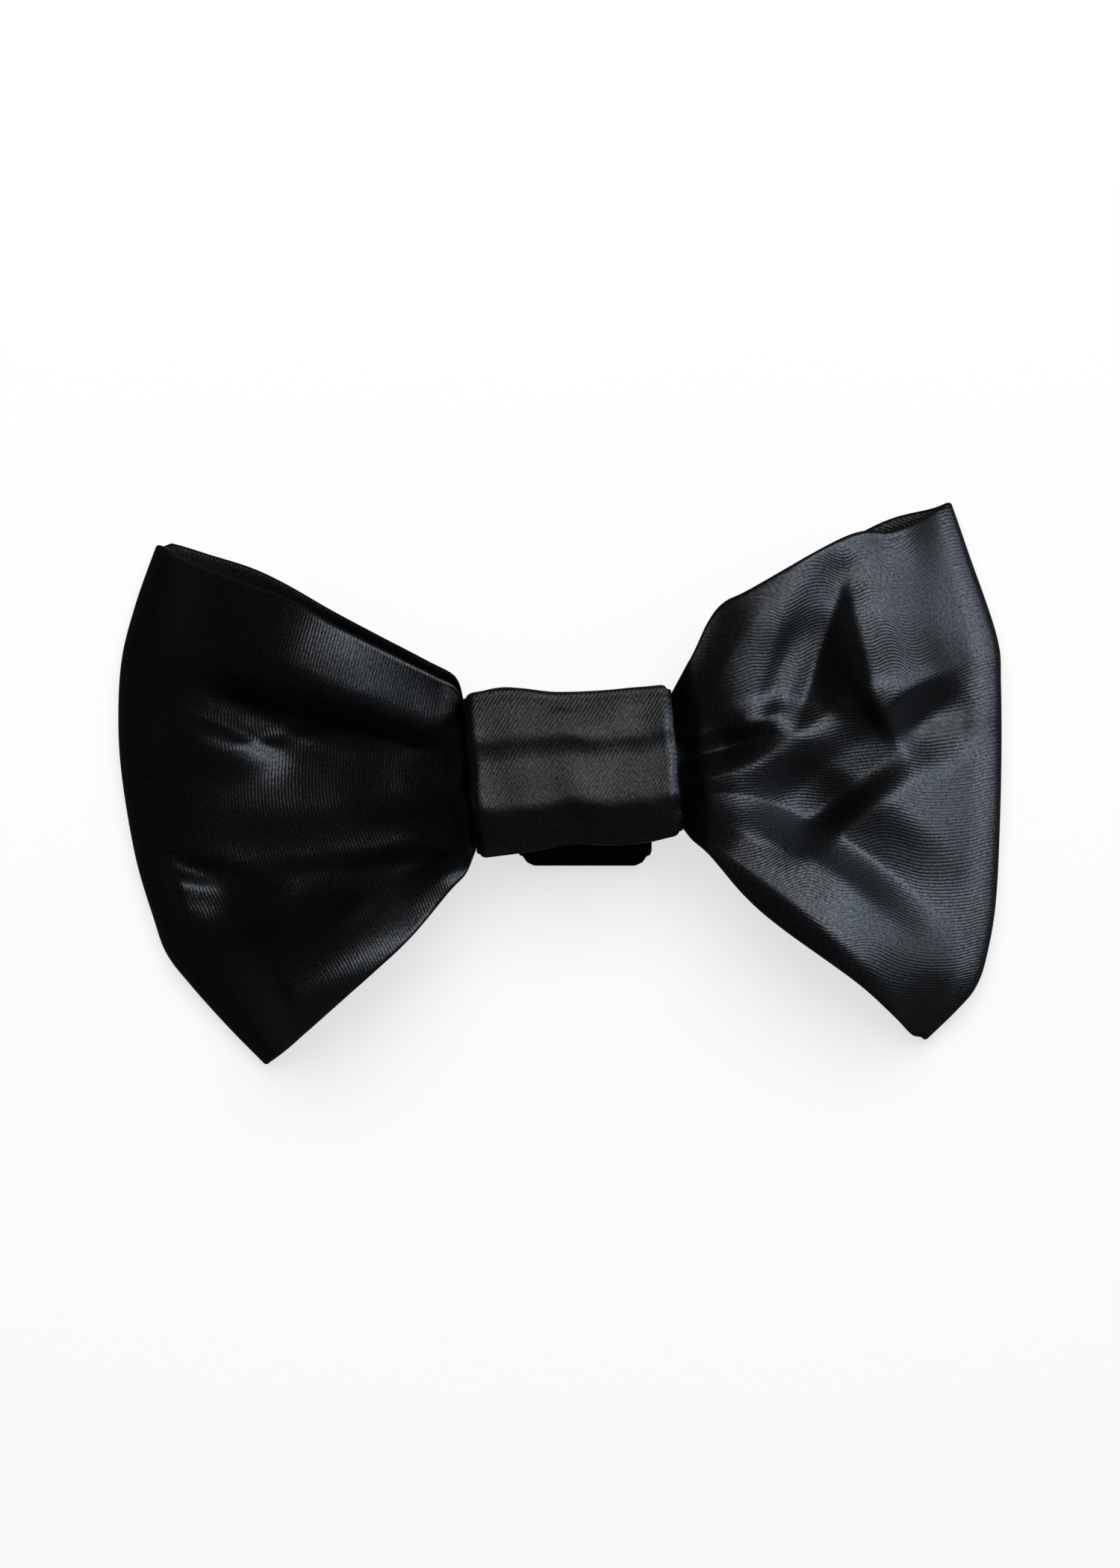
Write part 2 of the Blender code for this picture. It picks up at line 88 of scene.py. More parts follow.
def curveThrough(points):
    p = np.array(points, float)
    slopes = np.empty_like(p)
    slopes[1:-1] = (p[2:] - p[:-2]) / 2
    slopes[0], slopes[-1] = p[1] - p[0], p[-1] - p[-2]
    q = np.linspace(0, 1, curveSteps, endpoint=False)[:, None]
    pieces = [hermite(p[i], p[i + 1], slopes[i], slopes[i + 1], q) for i in range(len(p) - 1)]
    line = np.vstack(pieces + [p[-1:]])
    run = np.concatenate([[0], np.cumsum(np.linalg.norm(np.diff(line, axis=0), axis=1))])
    return line, run / run[-1]


def onCurve(curve, share):
    line, run = curve
    return np.stack([np.interp(share, run, line[:, k]) for k in range(line.shape[1])], -1)


def unit(v):
    return v / np.maximum(np.linalg.norm(v, axis=-1, keepdims=True), 1e-12)


def softNoise(points, size, seed):   # each seed reads another part of the noise
    return np.array([noise.noise(Vector(p / size) + Vector((seed, 3.1 * seed, 0))) for p in points])


def torusMesh(name, grid, uv):
    rows, around = grid.shape[:2]  # closed both ways: along the band and round its section
    i, j = np.meshgrid(np.arange(rows), np.arange(around), indexing="ij")
    iNext, jNext = (i + 1) % rows, (j + 1) % around
    corners = (i, j), (iNext, j), (iNext, jNext), (i, jNext)
    faces = np.stack([row * around + column for row, column in corners], -1).reshape(-1, 4)
    mesh = bpy.data.meshes.new(name)
    mesh.from_pydata(grid.reshape(-1, 3).tolist(), [], faces.tolist())
    layer = mesh.uv_layers.new(name="cloth")  # metres on the cloth
    cornerUv = uv.reshape(-1, 2)[faces.reshape(-1)]
    layer.data.foreach_set("uv", cornerUv.reshape(-1).astype(np.float32))
    mesh.shade_smooth()
    mesh.validate()
    piece = bpy.data.objects.new(name, mesh)
    bpy.context.scene.collection.objects.link(piece)
    return piece


def rim(outer, inner, outward):      # a cut edge, rounded from the outer face to the inner one
    middle, up = (outer + inner) / 2, (outer - inner) / 2
    radius = np.linalg.norm(up, axis=-1, keepdims=True)
    angles = [math.pi * (k + 1) / (rimSteps + 1) for k in range(rimSteps)]
    return np.stack([middle + up * math.cos(a) + outward * radius * math.sin(a) for a in angles], 1)


# the knot band's form, which the waist of the bow follows too

knot = {
    "width": 24.0 * mm,
    "height": 19.0 * mm,
    "shift": (1.6 * mm, 1.6 * mm),   # right of the bow's middle, and above it
    "lean": 0.085,                   # both side edges lean right going down
    "back": 7.9 * mm,                # over the floor
    "depth": 10.0 * mm,
    "wall": 0.9 * mm,
    "inset": 1.5 * mm,               # from the band's outside to the waist's satin
    "insetSteps": 6,
    "sink": (0.95, 0.80),            # how far the satin is pressed down at the left and right edge
    "pressed": 0.15,                 # share of the width at each edge where it is pressed down
    "pressedGap": 2.4 * mm,          # depth that stays there between its front and back
    "section": [                     # up, front, back
        (-0.50, 0.60, 0.12), (-0.44, 0.67, 0.02), (-0.36, 0.81, 0.00), (-0.29, 0.93, 0.00),
        (-0.22, 0.99, 0.00), (-0.10, 0.96, 0.00), (0.05, 0.90, 0.00), (0.12, 0.90, 0.00),
        (0.20, 0.92, 0.00), (0.30, 0.88, 0.00), (0.40, 0.82, 0.00), (0.46, 0.77, 0.03),
        (0.50, 0.70, 0.14),
    ],
    "edges": [                       # across, top, bottom
        (0.00, 0.480, -0.545), (0.20, 0.515, -0.515), (0.45, 0.488, -0.470),
        (0.75, 0.510, -0.462), (1.00, 0.535, -0.410),
    ],
    "hem": 0.9 * mm,                 # the turned side edges, rounded over this width
    "hemDrop": 0.55 * mm,
    "grain": 35,                     # degrees by which the weave is turned
    "edgeWave": (6, 3, 9.0, 0.4),    # waves up and through, seed, mm by which the side edges wander
    "pleatWave": (5.2, 4.0, 0.9),    # waves across, seed, mm by which the front's folds wander
    "pleatFrom": (0.5, 0.2),         # share of the depth where they begin, and in which they grow
    "pleatTo": (0.42, 0.1),          # share up or down from the middle where they end, and fade
    "crumple": (2.6, 8.0, 0.14),     # mm across, seed, mm high
    "crumpleStretch": 0.6,           # below 1, its creases are longer across the knot
    "dents": (6, 8.0, 0.16),         # mm across, seed, mm high
    "acrossSteps": 110,
    "roundSteps": 190,
}


def knotEdges(across):
    middle, height = knot["shift"][1], knot["height"]
    top = middle + tableValue(knot["edges"], 1, across) * height
    bottom = middle + tableValue(knot["edges"], 2, across) * height
    return bottom, top


def knotX(across, y):
    return knot["shift"][0] + (across - 0.5) * knot["width"] + (knot["shift"][1] - y) * knot["lean"]


def waistPoint(across, t, front):
    across, t = np.broadcast_arrays(across, t)
    bottom, top = knotEdges(np.clip(across, 0, 1))
    inset = knot["inset"]
    y = mix(bottom + inset, top - inset, t)
    levels = []                      # the band's section, moved inwards by the inset all round
    for k in range(-knot["insetSteps"], knot["insetSteps"] + 1):
        off = inset * k / knot["insetSteps"]
        up = (y + off - bottom) / (top - bottom) - 0.5
        level = knot["back"] + tableValue(knot["section"], 1 if front else 2, up) * knot["depth"]
        levels.append(level + (-1 if front else 1) * math.sqrt(max(0, inset ** 2 - off ** 2)))
    z = np.min(levels, 0) if front else np.max(levels, 0)
    if front:                        # the satin sinks where it comes out from under the band
        edge = smooth(1 - np.minimum(across, 1 - across) / knot["pressed"])
        free = np.maximum(0, z - waistPoint(across, t, False)[..., 2] - knot["pressedGap"])
        z = z - free * edge * np.where(across < 0.5, knot["sink"][0], knot["sink"][1])
    return np.stack([knotX(across, y), y, z], -1)


# the bow: one satin band, both wings and the waist

bow = {
    "cloth": 1.2 * mm,               # the solid's wall, which sets how far its layers stay apart
    "wall": 0.8 * mm,                # what shows: doubled satin with its interlining
    "rise": 11.5 * mm,               # height for a 1 in the heights and folds below
    "foldRadius": 2.2 * mm,          # outer fold
    "tipRadius": 0.9 * mm,           # the same at its two corners, where it is pinched flat
    "cornerPower": 6,                # how near to the corners the pinch begins
    "leastRadius": 0.1 * mm,
    "tipLift": 1.2 * mm,             # the corners curl up off the table
    "liftPower": 4,
    "endReach": 0.01,                # share of the outer fold over which its direction is read
    "swell": 0.11,                   # share of a wing over which it rises out of the waist
    "calm": 0.07,                    # share of a wing before its end where its folds die out
    "backFade": 2.5,                 # the back's folds fade over the last 1 / 2.5 of a wing
    "thin": 0.15,                    # share before the end where the front comes down to the fold
    "meet": 0.20,                    # share before the end where front and back draw together
    "clear": 0.014,                  # share of the knot's width between its edge and a wing
    "level": 0.8,                    # least upward part of a normal that a wall is measured by
    "layerGap": 0.3 * mm,            # air between the layers, beside their walls
    "layerBlend": 0.25,              # how softly the front layer settles on the back one
    "wobble": [(9, 2.0, 0.16), (3.5, 5.0, 0.05)],  # mm across, seed, mm high
    "grain": (80, 0),                # degrees by which the weave is turned, right and left wing
    "curlSteps": 28,                 # straight pieces in each fold's line
    "stepGrowth": 1.15,              # above 1, steps are finer near the knot
    "frontSteps": 96,
    "turnSteps": 6,
    "backSteps": 44,
    "waistSteps": 9,
    "heightSteps": 110,
    "rightHeights": [                # out along the wing, height
        (0.00, 0.84), (0.12, 0.92), (0.30, 0.98), (0.50, 0.93),
        (0.62, 0.83), (0.80, 0.48), (1.00, 0.00),
    ],
    "leftHeights": [
        (0.00, 0.44), (0.12, 0.45), (0.30, 0.48), (0.50, 0.48),
        (0.70, 0.43), (0.85, 0.33), (1.00, 0.00),
    ],
    "backHeights": [
        (0.00, 0.98), (0.12, 0.82), (0.30, 0.48), (0.50, 0.19),
        (0.70, 0.04), (0.85, 0.00), (1.00, 0.00),
    ],
}

# outlines seen from above, as (along, up): along is a share of the wing's length out from the
# knot, up is a share of the bow's height
rightOutline = {
    "frontTop": [
        (0.056, 0.222), (0.100, 0.277), (0.146, 0.311), (0.225, 0.335),
        (0.449, 0.410), (0.560, 0.438), (0.650, 0.440), (0.742, 0.461),
    ],
    "backTop": [
        (0.056, 0.205), (0.146, 0.290), (0.337, 0.362), (0.562, 0.440), (0.674, 0.471), (0.787, 0.487),
    ],
    "bottom": [
        (0.056, -0.092), (0.112, -0.120), (0.225, -0.196), (0.337, -0.253),
        (0.562, -0.349), (0.674, -0.408), (0.730, -0.441),
    ],
    "end": [
        (0.775, -0.456), (0.865, -0.404), (0.921, -0.364), (0.955, -0.307), (0.984, -0.199),
        (0.998, 0.000), (0.998, 0.180), (0.985, 0.265), (0.899, 0.414), (0.849, 0.500),
    ],
}
leftOutline = {
    "frontTop": [
        (0.050, 0.166), (0.099, 0.183), (0.242, 0.228), (0.384, 0.274),
        (0.498, 0.315), (0.711, 0.365), (0.830, 0.398),
    ],
    "backTop": [
        (0.050, 0.183), (0.134, 0.214), (0.277, 0.262), (0.405, 0.306),
        (0.527, 0.351), (0.626, 0.381), (0.740, 0.404), (0.850, 0.425),
    ],
    "bottom": [
        (0.023, -0.152), (0.074, -0.187), (0.178, -0.266), (0.281, -0.328), (0.488, -0.446),
    ],
    "end": [
        (0.591, -0.500), (0.694, -0.433), (0.798, -0.359), (0.865, -0.303), (0.901, -0.240),
        (0.952, -0.130), (0.990, 0.013), (1.000, 0.120), (0.990, 0.225), (0.952, 0.320), (0.895, 0.424),
    ],
}

# each fold runs through three (along, up) points; rise is a share of the bow's rise, the widths to its
# left and right are shares of the bow's height, the fades are shares of the fold's own length, and
# crest goes from 0, round, to 1, sharp
foldColumns = (
    "name", "start", "middle", "end", "rise", "left", "right", "fadeIn", "fadeOut", "crest",
)
rightFolds = [
    ("topRoll", (0.08, 0.07), (0.24, 0.28), (0.65, 0.43), 0.12, 0.11, 0.09, 0.30, 0.50, 0.2),
    ("stripRoll", (0.28, 0.36), (0.20, 0.21), (0.14, 0.09), 0.04, 0.11, 0.07, 0.30, 0.30, 0.2),
    ("stripStreak", (0.37, 0.31), (0.31, 0.19), (0.24, 0.09), -0.05, 0.03, 0.03, 0.30, 0.30, 0.2),
    ("spikeGroove", (0.53, 0.41), (0.445, 0.25), (0.35, 0.08), -0.24, 0.16, 0.09, 0.30, 0.20, 0.6),
    ("spikeRidge", (0.50, 0.39), (0.565, 0.24), (0.62, 0.07), 0.24, 0.16, 0.10, 0.30, 0.35, 0.5),
    ("basinRim", (0.58, 0.11), (0.73, 0.17), (0.92, 0.23), 0.18, 0.15, 0.07, 0.15, 0.40, 0.8),
    ("basin", (0.92, 0.19), (0.77, 0.12), (0.66, 0.08), -0.22, 0.11, 0.07, 0.45, 0.40, 0.2),
    ("basinCrease", (0.36, 0.09), (0.46, 0.01), (0.56, -0.07), -0.34, 0.22, 0.18, 0.45, 0.35, 0.0),
    ("upperLip", (0.13, 0.09), (0.25, 0.11), (0.39, 0.14), 0.10, 0.05, 0.04, 0.40, 0.40, 0.5),
    ("upperCrease", (-0.02, 0.05), (0.13, 0.06), (0.34, 0.11), -0.22, 0.04, 0.05, 0.02, 0.45, 0.3),
    ("middleLobe", (-0.06, 0.00), (0.15, 0.00), (0.50, -0.05), 0.30, 0.10, 0.10, 0.38, 0.62, 0.0),
    ("lowerCrease", (-0.02, -0.03), (0.40, -0.06), (0.93, -0.31), -0.24, 0.11, 0.07, 0.02, 0.30, 0.3),
    ("bottomRoll", (0.01, -0.07), (0.40, -0.23), (0.76, -0.43), 0.19, 0.14, 0.06, 0.20, 0.30, 0.2),
]
leftFolds = [
    ("upperLobe", (-0.30, 0.08), (0.25, 0.15), (0.84, 0.33), 0.57, 0.32, 0.12, 0.70, 0.30, 0.0),
    ("outerLobe", (0.18, 0.15), (0.48, 0.21), (0.90, 0.35), 0.28, 0.30, 0.12, 0.80, 0.20, 0.0),
    ("upperCrease", (-0.02, 0.03), (0.38, 0.10), (0.87, 0.18), -0.16, 0.05, 0.05, 0.02, 0.50, 0.5),
    ("pucker", (-0.02, 0.12), (0.05, 0.10), (0.15, 0.08), -0.06, 0.03, 0.03, 0.05, 0.60, 0.7),
    ("patchRidge", (0.72, 0.12), (0.75, 0.07), (0.77, 0.00), 0.18, 0.14, 0.17, 0.45, 0.50, 0.0),
    ("middleValley", (0.50, 0.11), (0.47, 0.03), (0.47, -0.08), -0.14, 0.14, 0.22, 0.30, 0.60, 0.0),
    ("middleRidge", (-0.01, -0.02), (0.18, -0.02), (0.40, 0.00), 0.06, 0.07, 0.07, 0.60, 0.40, 0.0),
    ("lowerCrease", (-0.02, -0.07), (0.38, -0.11), (0.92, -0.14), -0.16, 0.09, 0.05, 0.02, 0.30, 0.1),
    ("lowerLobe", (-0.03, -0.13), (0.07, -0.16), (0.22, -0.22), 0.16, 0.05, 0.05, 0.60, 0.50, 0.2),
    ("cornerRidge", (0.86, -0.13), (0.89, -0.20), (0.89, -0.28), 0.26, 0.06, 0.14, 0.30, 0.40, 0.0),
    ("cornerValley", (0.68, -0.13), (0.70, -0.20), (0.72, -0.29), -0.20, 0.12, 0.12, 0.30, 0.40, 0.0),
    ("bottomRoll", (-0.10, -0.15), (0.27, -0.28), (0.66, -0.41), 0.64, 0.15, 0.12, 0.80, 0.20, 0.0),
    ("lowStreak", (0.27, -0.19), (0.33, -0.22), (0.39, -0.26), 0.03, 0.03, 0.03, 0.40, 0.40, 0.3),
]
backFolds = [
    ("upperGather", (-0.02, 0.06), (0.25, 0.13), (0.70, 0.25), 0.10, 0.08, 0.08, 0.02, 0.50, 0.2),
    ("middleGather", (-0.02, 0.01), (0.25, 0.00), (0.60, -0.02), -0.07, 0.07, 0.07, 0.02, 0.50, 0.5),
    ("lowerGather", (-0.02, -0.05), (0.25, -0.12), (0.65, -0.24), 0.10, 0.08, 0.08, 0.02, 0.50, 0.2),
]


def wingFrame(side):
    rootX = knot["shift"][0] + side * knot["width"] / 2
    return rootX, abs(side * bowWidth / 2 - rootX)


def foldHeights(folds, side, flat):
    rootX, length = wingFrame(side)
    a = (flat[..., 0] - rootX) * side  # out from the knot
    b = flat[..., 1]
    total = np.zeros_like(a)
    scale = np.array([length, bowHeight])
    for row in folds:
        fold = dict(zip(foldColumns, row))
        start, middle, end = (np.array(fold[key]) * scale for key in ("start", "middle", "end"))
        pull = 2 * middle - (start + end) / 2
        q = np.linspace(0, 1, bow["curlSteps"] + 1)[:, None]
        line = (1 - q) ** 2 * start + 2 * q * (1 - q) * pull + q * q * end
        nearest = np.full(a.shape, 1e9)
        run = np.zeros_like(a)
        onLeft = np.zeros(a.shape, bool)
        for i in range(len(line) - 1):
            stepA, stepB = line[i + 1] - line[i]
            share = ((a - line[i][0]) * stepA + (b - line[i][1]) * stepB) / (stepA ** 2 + stepB ** 2)
            share = np.clip(share, 0, 1)
            awayA = a - line[i][0] - share * stepA
            awayB = b - line[i][1] - share * stepB
            off = np.hypot(awayA, awayB)
            closer = off < nearest
            nearest = np.where(closer, off, nearest)
            run = np.where(closer, (i + share) / (len(line) - 1), run)
            onLeft = np.where(closer, stepA * awayB - stepB * awayA > 0, onLeft)
        reach = np.where(onLeft, fold["left"], fold["right"]) * bowHeight
        off = np.clip(nearest / reach, 0, 1)
        shape = mix((1 - off ** 2) ** 2, (1 - off) ** 2, fold["crest"])
        fadeIn, fadeOut = smooth(run / fold["fadeIn"]), smooth((1 - run) / fold["fadeOut"])
        total += fold["rise"] * shape * fadeIn * fadeOut
    return total


def wingSurfaces(side, outline, folds):
    rootX, length = wingFrame(side)
    across = 1 + bow["clear"] if side > 0 else -bow["clear"]
    heights = bow["rightHeights" if side > 0 else "leftHeights"]

    def place(rows):
        return [(rootX + side * a * length, u * bowHeight) for a, u in rows]

    end = curveThrough(place(outline["end"]))

    def outwardAt(t):
        ahead, behind = np.minimum(1, t + bow["endReach"]), np.maximum(0, t - bow["endReach"])
        step = onCurve(end, ahead) - onCurve(end, behind)
        return unit(np.stack([step[..., 1], -step[..., 0]], -1)) * side

    def radiusAt(t):
        return mix(bow["foldRadius"], bow["tipRadius"], np.abs(2 * t - 1) ** bow["cornerPower"])

    def tipLine(t):
        return onCurve(end, t) - outwardAt(t) * radiusAt(t)[..., None]

    def lift(t):
        return bow["tipLift"] * np.abs(2 * t - 1) ** bow["liftPower"]

    def flatPoint(s, t, front):
        rootLow = waistPoint(across, 0.0, front)[..., :2]
        rootHigh = waistPoint(across, 1.0, front)[..., :2]
        tipLow, tipHigh = tipLine(np.array(0.0)), tipLine(np.array(1.0))
        topRows = place(outline["frontTop" if front else "backTop"])
        bottom = curveThrough([rootLow] + place(outline["bottom"]) + [tipLow])
        top = curveThrough([rootHigh] + topRows + [tipHigh])
        root, tip = waistPoint(across, t, front)[..., :2], tipLine(t)
        s1, t1 = s[..., None], t[..., None]
        corners = mix(mix(rootLow, rootHigh, t1), mix(tipLow, tipHigh, t1), s1)
        return mix(onCurve(bottom, s), onCurve(top, s), t1) + mix(root, tip, s1) - corners

    def backPoint(s, t):
        flat = flatPoint(s, t, False)
        calm = smooth((1 - s) / bow["calm"]) * np.clip(bow["backFade"] * (1 - s), 0, 1)
        share = np.maximum(0, tableValue(bow["backHeights"], 1, s))
        level = share * (knot["back"] + knot["inset"]) + lift(t) * s
        free = level - foldHeights(backFolds, side, flat) * bow["rise"] * calm
        z = mix(waistPoint(across, t, False)[..., 2], free, smooth(s / bow["swell"]))
        return np.concatenate([flat, z[..., None]], -1)

    def frontPoint(s, t):
        flat = flatPoint(s, t, True)
        calm = smooth((1 - s) / bow["calm"])
        share = tableValue(heights, 1, s) + foldHeights(folds, side, flat) * calm
        low = mix(bow["foldRadius"], radiusAt(t), smooth(1 - (1 - s) / bow["thin"]))
        free = 2 * low + lift(t) + share * bow["rise"]
        apart = 2 * bow["cloth"] / bow["level"] + bow["layerGap"]
        toFold = smooth(1 - (1 - s) / bow["meet"])
        over = backPoint(s, t)[..., 2] + mix(apart, 2 * radiusAt(t), toFold)
        free = (free + over + np.hypot(free - over, apart * bow["layerBlend"])) / 2
        z = mix(waistPoint(across, t, True)[..., 2], free, smooth(s / bow["swell"]))
        return np.concatenate([flat, z[..., None]], -1)

    def turnPoint(turn, t, wall):
        angle = math.pi * (0.5 - turn)
        radius = np.maximum(radiusAt(t) - wall, bow["leastRadius"])
        flat = tipLine(t) + outwardAt(t) * (radius * np.cos(angle))[..., None]
        z = radiusAt(t) + radius * np.sin(angle) + lift(t)
        return np.concatenate([flat, z[..., None]], -1)

    ups = np.linspace(0, 1, bow["heightSteps"] + 1)

    def outSteps(count):
        return np.meshgrid(np.linspace(0, 1, count + 1) ** bow["stepGrowth"], ups, indexing="ij")

    front = frontPoint(*outSteps(bow["frontSteps"]))
    back = backPoint(*outSteps(bow["backSteps"]))
    turns = np.arange(1, bow["turnSteps"]) / bow["turnSteps"]
    turn, turnUps = np.meshgrid(turns, ups, indexing="ij")
    outerTurn = turnPoint(turn, turnUps, 0)
    innerTurn = turnPoint(turn, turnUps, bow["wall"])
    outer = np.concatenate([front, outerTurn, back[::-1]])
    inner = np.concatenate([sunk(front, -1), innerTurn, sunk(back, 1)[::-1]])
    return outer, inner


def sunk(layer, way):                # the layer's inner face, a wall's thickness down or up
    normals = unit(np.cross(np.gradient(layer, axis=0), np.gradient(layer, axis=1)))
    level = np.maximum(np.abs(normals[..., 2]), bow["level"])
    moved = layer.copy()
    moved[..., 2] += way * bow["wall"] / level
    return moved


def clothUv(outer, turnAngle):
    # lengths measured on the cloth itself, out along the band and across it, then turned
    alongSteps = np.linalg.norm(np.diff(outer, axis=0), axis=-1)
    u = np.concatenate([np.zeros((1, outer.shape[1])), np.cumsum(alongSteps, 0)])
    acrossSteps = np.linalg.norm(np.diff(outer, axis=1), axis=-1)
    v = np.concatenate([np.zeros((outer.shape[0], 1)), np.cumsum(acrossSteps, 1)], 1)
    v = v - v[:, v.shape[1] // 2][:, None]
    c, s = math.cos(turnAngle), math.sin(turnAngle)
    return np.stack([u * c - v * s, u * s + v * c], -1)


def makeBow():
    right, rightIn = wingSurfaces(1, rightOutline, rightFolds)
    left, leftIn = wingSurfaces(-1, leftOutline, leftFolds)
    steps = bow["waistSteps"]
    ups = np.linspace(0, 1, bow["heightSteps"] + 1)
    across, waistUps = np.meshgrid(np.arange(1, steps + 1) / (steps + 1), ups, indexing="ij")
    front = waistPoint(across, waistUps, True)
    back = waistPoint(across, waistUps, False)
    outer = np.concatenate([right, back[::-1], left[::-1], front])
    inner = np.concatenate([rightIn, sunk(back, 1)[::-1], leftIn[::-1], sunk(front, -1)])

    # faint unevenness of cloth that was sewn, turned and creased by hand
    points = outer.reshape(-1, 3)
    waves = [softNoise(points, size * mm, seed) * high * mm for size, seed, high in bow["wobble"]]
    wobble = np.sum(waves, 0).reshape(outer.shape[:2])
    outer[..., 2] = np.maximum(outer[..., 2] + wobble, 0)
    inner[..., 2] += wobble

    topOut, bottomOut = unit(outer[:, -1] - outer[:, -2]), unit(outer[:, 0] - outer[:, 1])
    topRim = rim(outer[:, -1], inner[:, -1], topOut)
    bottomRim = rim(inner[:, 0], outer[:, 0], bottomOut)
    section = np.concatenate([outer, topRim, inner[:, ::-1], bottomRim], 1)

    rightGrain, leftGrain = (math.radians(angle) for angle in bow["grain"])
    uvRight, uvLeft = clothUv(right, rightGrain), clothUv(left, leftGrain)
    uvBack, uvFront = clothUv(back[::-1], 0), clothUv(front, 0)
    uv = np.concatenate([uvRight, uvBack, uvLeft[::-1], uvFront])
    uvTop = np.repeat(uv[:, -1:], topRim.shape[1], 1)
    uvBottom = np.repeat(uv[:, :1], bottomRim.shape[1], 1)
    uvSection = np.concatenate([uv, uvTop, uv[:, ::-1], uvBottom], 1)
    print("bow band of", section.shape[0], "by", section.shape[1], "points")
    return torusMesh("bowSatin", section, uvSection)


def bandMesh(name, outer, inner, turnAngle):
    # closes a ring of cloth at its left and right edge
    sideOut = np.zeros_like(outer[0])
    sideOut[:, 0] = 1
    rightRim = np.swapaxes(rim(outer[-1], inner[-1], sideOut), 0, 1)
    leftRim = np.swapaxes(rim(inner[0], outer[0], -sideOut), 0, 1)
    uv = clothUv(outer, turnAngle)
    uvRight, uvLeft = np.repeat(uv[-1:], rimSteps, 0), np.repeat(uv[:1], rimSteps, 0)
    grid = np.concatenate([outer, rightRim, inner[::-1], leftRim])
    return torusMesh(name, grid, np.concatenate([uv, uvRight, uv[::-1], uvLeft]))


# the knot band: a strip of the same satin folded round the waist

def makeKnot():
    across = np.linspace(0, 1, knot["acrossSteps"] + 1)
    frontRows = [(up + 0.5, front) for up, front, back in knot["section"]]
    backRows = [(up + 0.5, back) for up, front, back in knot["section"][::-1]]
    closed = curveThrough(frontRows + backRows + frontRows[:1])
    ring = onCurve(closed, np.linspace(0, 1, knot["roundSteps"], endpoint=False))
    bottom, top = knotEdges(across)
    y = bottom[:, None] + (top - bottom)[:, None] * ring[None, :, 0]
    z = knot["back"] + knot["depth"] * np.broadcast_to(ring[None, :, 1], y.shape)
    x = knotX(across[:, None], y)

    # the side edges wander a little
    wavesUp, wavesThrough, seed, far = knot["edgeWave"]
    around = np.stack([ring[:, 0] * wavesUp, ring[:, 1] * wavesThrough, 0 * ring[:, 0]], -1)
    x = x + softNoise(around, 1.0, seed) * far * mm * np.abs(2 * across[:, None] - 1) ** 3
    outer = np.stack([x, y, z], -1)
    step = np.roll(outer, -1, axis=1) - np.roll(outer, 1, axis=1)
    outward = unit(np.stack([np.zeros_like(x), step[..., 2], -step[..., 1]], -1))
    middle = np.array([0, knot["shift"][1], knot["back"] + knot["depth"] / 2])
    away = (outer - middle) * np.array([0, 1, 1])
    outward = outward * np.sign(np.sum(outward * away, -1, keepdims=True).mean())

    # so do the folds across its front, but not its top and bottom
    waves, seed, far = knot["pleatWave"]
    wave = softNoise(np.stack([across * waves, 0 * across, 0 * across], -1), 1.0, seed)
    begin, grow = knot["pleatFrom"]
    onFront = smooth(((z - knot["back"]) / knot["depth"] - begin) / grow)
    last, fade = knot["pleatTo"]
    inside = smooth((last - np.abs(ring[None, :, 0] - 0.5)) / fade)
    y = y + wave[:, None] * far * mm * onFront * inside
    outer = np.stack([x, y, z], -1)

    # soft crumples, and hems that round down at the side edges
    points = outer.reshape(-1, 3)
    size, seed, high = knot["crumple"]
    stretched = points * np.array([knot["crumpleStretch"], 1, 1])
    wobble = softNoise(stretched, size * mm, seed) * high
    size, seed, high = knot["dents"]
    wobble = (wobble + softNoise(points, size * mm, seed) * high).reshape(x.shape) * mm
    fromEdge = np.minimum(across, 1 - across)[:, None] * knot["width"] / knot["hem"]
    wobble = wobble - (1 - np.sqrt(1 - np.clip(1 - fromEdge, 0, 1) ** 2)) * knot["hemDrop"]
    outer = outer + outward * wobble[..., None]
    inner = outer - outward * knot["wall"]
    return bandMesh("knotBand", outer, inner, math.radians(knot["grain"]))


# the elastic loop behind the knot, where a collar strap runs through

elastic = {
    "width": 15.0 * mm,
    "length": 20.0 * mm,             # the folded loop, end to end
    "wall": 1.2 * mm,
    "gap": 5.2 * mm,
    "shift": (1.4 * mm, -1.6 * mm),  # from the knot's middle
    "ends": [                        # across, short of the full length
        (0.00, 0.060), (0.03, 0.026), (0.09, 0.004), (0.50, 0.004),
        (0.91, 0.004), (0.97, 0.026), (1.00, 0.060),
    ],
    "acrossSteps": 60,
    "endSteps": 24,
    "flatSteps": 14,
}


